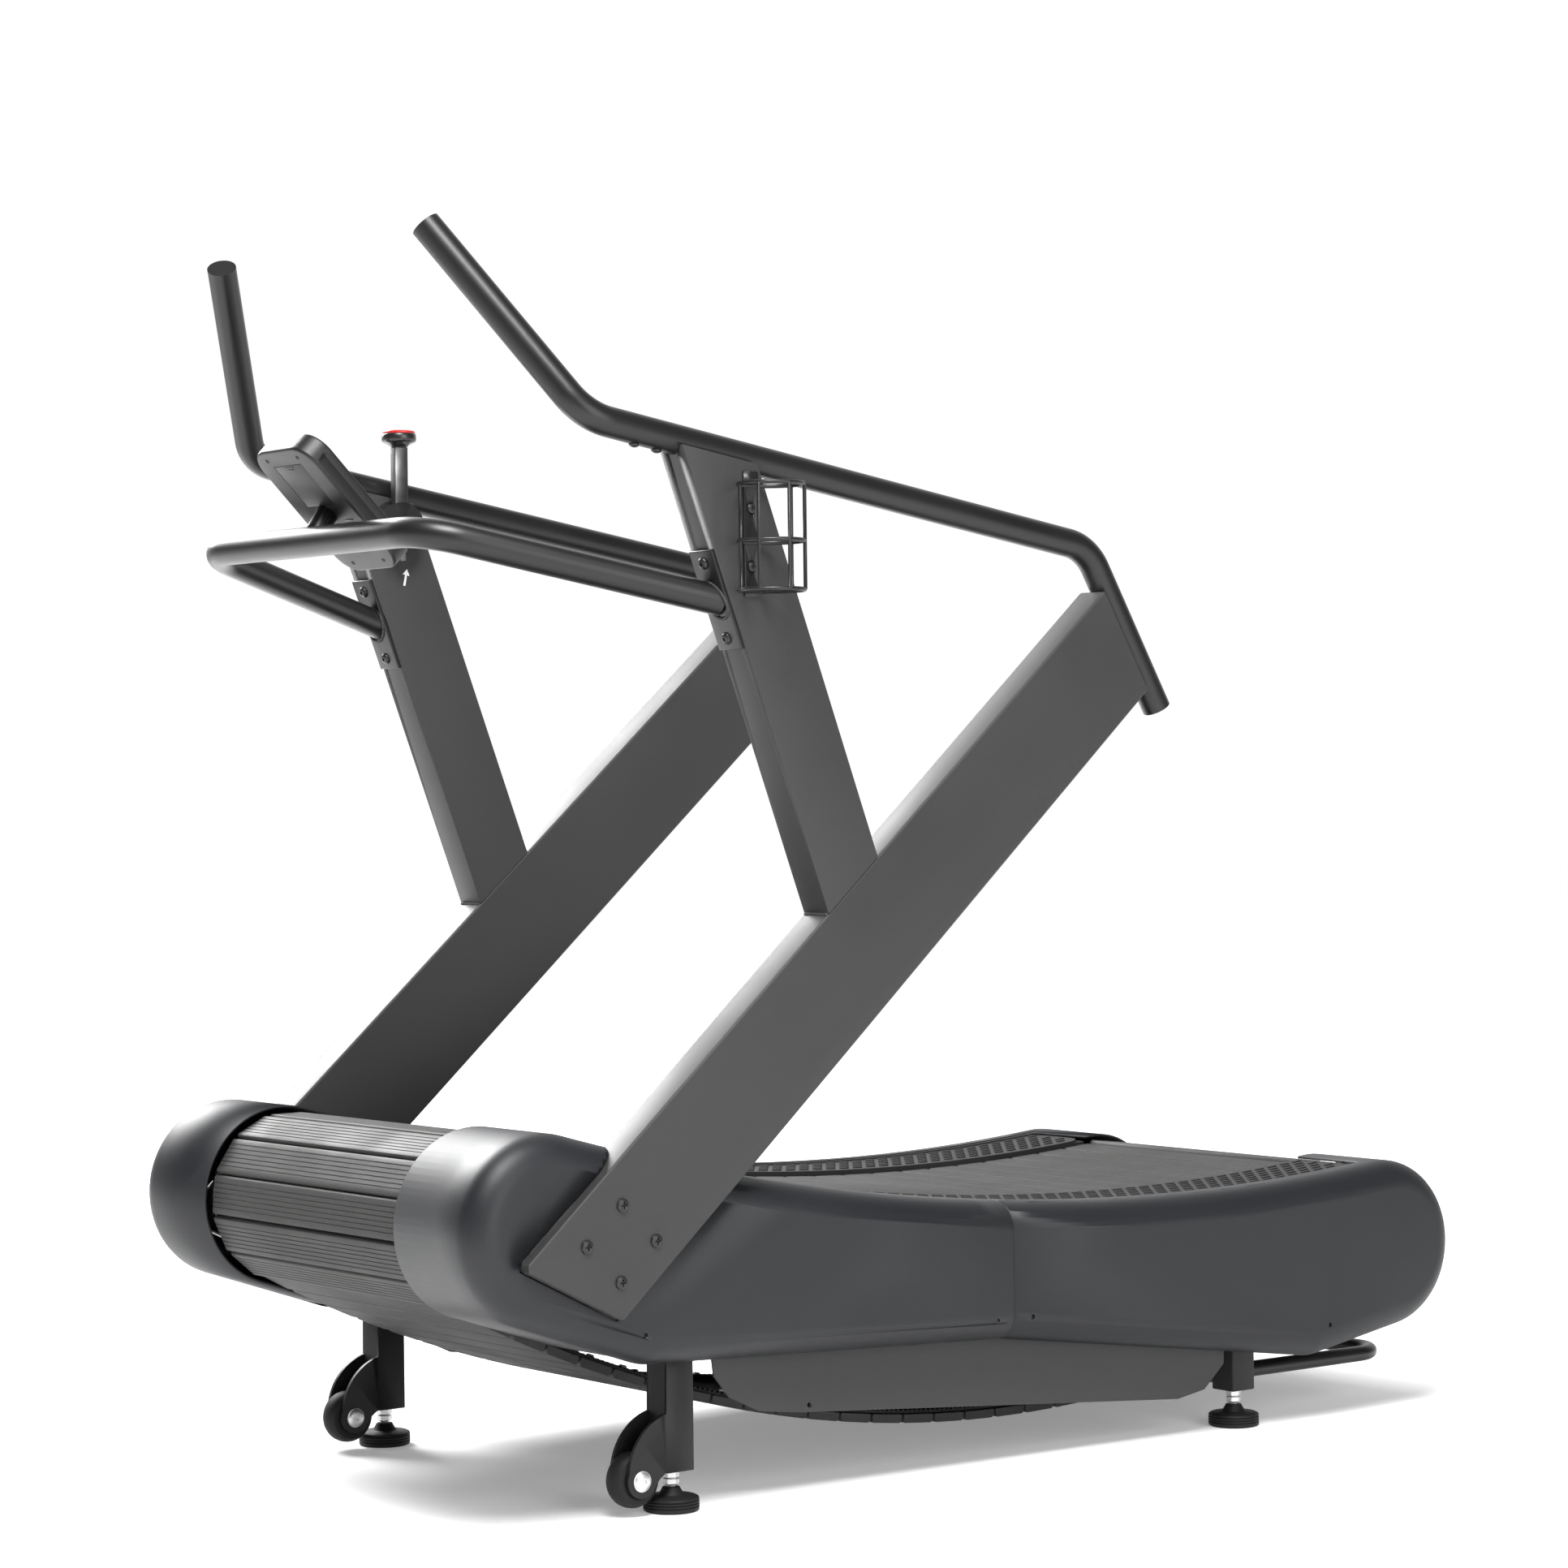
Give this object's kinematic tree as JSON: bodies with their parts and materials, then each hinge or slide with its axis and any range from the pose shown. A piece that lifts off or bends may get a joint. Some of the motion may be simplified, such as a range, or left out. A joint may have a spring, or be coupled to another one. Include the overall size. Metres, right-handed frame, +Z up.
{
  "type": "curved manual treadmill",
  "caption": "Self-powered treadmill with a hollow-curved slat belt between moulded cowls, slanted box-section beams, raised horn handles, a small console and a resistance lever.",
  "frame": {"origin": "on the floor, on the middle plane, halfway between the front and the rear feet", "axes": "+Z up, +X towards the rear of the machine, +Y towards the runner's right; the runner faces -X"},
  "size_m": [1.7038, 0.9227, 1.5932],
  "materials": {
    "frame_coat": "textured matt powder coat, near black",
    "tube_coat": "satin black powder coat",
    "cowl_plastic": "moulded matt black plastic, slightly blue",
    "strip_rubber": "dark rubber foot rail with raised dashes",
    "slat_rubber": "dark grey rubber with a fine brick tread",
    "belt_rubber": "black toothed belt",
    "wheel_rubber": "moulded black rubber",
    "pad_rubber": "moulded black rubber",
    "zinc_steel": "bright zinc plate",
    "black_screw": "black oxide",
    "bare_steel": "turned steel",
    "cast_aluminium": "machined aluminium",
    "guard_coat": "textured grey powder coat",
    "console_plastic": "grained black plastic",
    "screen_glass": "dark display window",
    "key_rubber": "soft grey keys",
    "lever_steel": "grey satin steel",
    "knob_plastic": "smooth black plastic",
    "cap_red": "smooth red plastic",
    "cage_wire": "black coated wire"
  },
  "bodies": {
    "frame": {"axle_bearings": "bare_steel", "axle_plates": "frame_coat", "battery_door": "console_plastic", "beam_screws": "black_screw", "belt_slats": "slat_rubber", "bottle_cage": "cage_wire", "button_bolts": "black_screw", "console_back": "console_plastic", "console_front": "console_plastic", "console_screen": "screen_glass", "console_stalk": "tube_coat", "cowl_screws": "black_screw", "cross_members": "frame_coat", "foot_nuts": "zinc_steel", "front_handlebar": "tube_coat", "front_legs": "frame_coat", "guard_plates": "guard_coat", "guide_bearings": "bare_steel", "guide_rails": "frame_coat", "handlebar_flanges": "tube_coat", "left_beam": "frame_coat", "left_front_cowl": "cowl_plastic", "left_horn": "tube_coat", "left_post": "frame_coat", "left_rear_cowl": "cowl_plastic", "left_top_rail": "tube_coat", "left_tread_strip": "strip_rubber", "lift_handle": "tube_coat", "rear_legs": "frame_coat", "resistance_quadrant": "knob_plastic", "right_beam": "frame_coat", "right_front_cowl": "cowl_plastic", "right_horn": "tube_coat", "right_post": "frame_coat", "right_rear_cowl": "cowl_plastic", "right_top_rail": "tube_coat", "right_tread_strip": "strip_rubber", "side_rails": "frame_coat", "slat_bolts": "zinc_steel", "toothed_belts": "belt_rubber", "tube_end_caps": "console_plastic", "wheel_bolts": "zinc_steel"},
    "front_drum": {"front_axle": "bare_steel", "front_pulleys": "cast_aluminium", "brake_disc": "cast_aluminium"},
    "rear_drum": {"rear_axle": "bare_steel", "rear_pulleys": "cast_aluminium"},
    "resistance_control": {"resistance_lever": "lever_steel", "lever_knob": "knob_plastic", "lever_cap": "cap_red"},
    "magnet_arm": {"magnet_yoke": "bare_steel"},
    "left_transport_wheel": {"left_wheel": "wheel_rubber"},
    "right_transport_wheel": {"right_wheel": "wheel_rubber"},
    "front_left_leveller": {"front_left_foot": "pad_rubber"},
    "front_right_leveller": {"front_right_foot": "pad_rubber"},
    "rear_left_leveller": {"rear_left_foot": "pad_rubber"},
    "rear_right_leveller": {"rear_right_foot": "pad_rubber"},
    "start_key": {"key_start": "key_rubber"},
    "mode_key": {"key_mode": "key_rubber"},
    "stop_key": {"key_stop": "key_rubber"}
  },
  "joints": [
    {"name": "front_drum_spin", "type": "hinge", "parent": "frame", "child": "front_drum", "pos_m": [-0.704, 0, 0.365], "axis": [0, 1, 0], "continuous": true},
    {"name": "rear_drum_spin", "type": "hinge", "parent": "frame", "child": "rear_drum", "pos_m": [0.748, 0, 0.235], "axis": [0, 1, 0], "continuous": true},
    {"name": "resistance_swing", "type": "hinge", "parent": "frame", "child": "resistance_control", "pos_m": [-0.431, 0.351, 1.257], "axis": [0, 1, 0], "range_deg": [-30, 30]},
    {"name": "magnet_swing", "type": "hinge", "parent": "frame", "child": "magnet_arm", "pos_m": [-0.604, 0.266, 0.303], "axis": [0, 1, 0], "range_deg": [-8, 8]},
    {"name": "left_wheel_spin", "type": "hinge", "parent": "frame", "child": "left_transport_wheel", "pos_m": [-0.545, -0.33, 0.045], "axis": [0, 1, 0], "continuous": true},
    {"name": "right_wheel_spin", "type": "hinge", "parent": "frame", "child": "right_transport_wheel", "pos_m": [-0.545, 0.33, 0.045], "axis": [0, 1, 0], "continuous": true},
    {"name": "front_left_foot_screw", "type": "slide", "parent": "frame", "child": "front_left_leveller", "axis": [0, 0, -1], "range_m": [0, 0.02]},
    {"name": "front_right_foot_screw", "type": "slide", "parent": "frame", "child": "front_right_leveller", "axis": [0, 0, -1], "range_m": [0, 0.02]},
    {"name": "rear_left_foot_screw", "type": "slide", "parent": "frame", "child": "rear_left_leveller", "axis": [0, 0, -1], "range_m": [0, 0.02]},
    {"name": "rear_right_foot_screw", "type": "slide", "parent": "frame", "child": "rear_right_leveller", "axis": [0, 0, -1], "range_m": [0, 0.02]},
    {"name": "start_key_press", "type": "slide", "parent": "frame", "child": "start_key", "axis": [-0.7071, 0, -0.7071], "range_m": [0, 0.0012], "stiffness_N_per_m": 1200, "springref_m": -0.0003},
    {"name": "mode_key_press", "type": "slide", "parent": "frame", "child": "mode_key", "axis": [-0.7071, 0, -0.7071], "range_m": [0, 0.0012], "stiffness_N_per_m": 1200, "springref_m": -0.0003},
    {"name": "stop_key_press", "type": "slide", "parent": "frame", "child": "stop_key", "axis": [-0.7071, 0, -0.7071], "range_m": [0, 0.0012], "stiffness_N_per_m": 1200, "springref_m": -0.0003}
  ],
  "couplings": [
    {"joint": "rear_drum_spin", "follows": "front_drum_spin", "ratio": 1},
    {"joint": "magnet_swing", "follows": "resistance_swing", "ratio": -0.25}
  ]
}
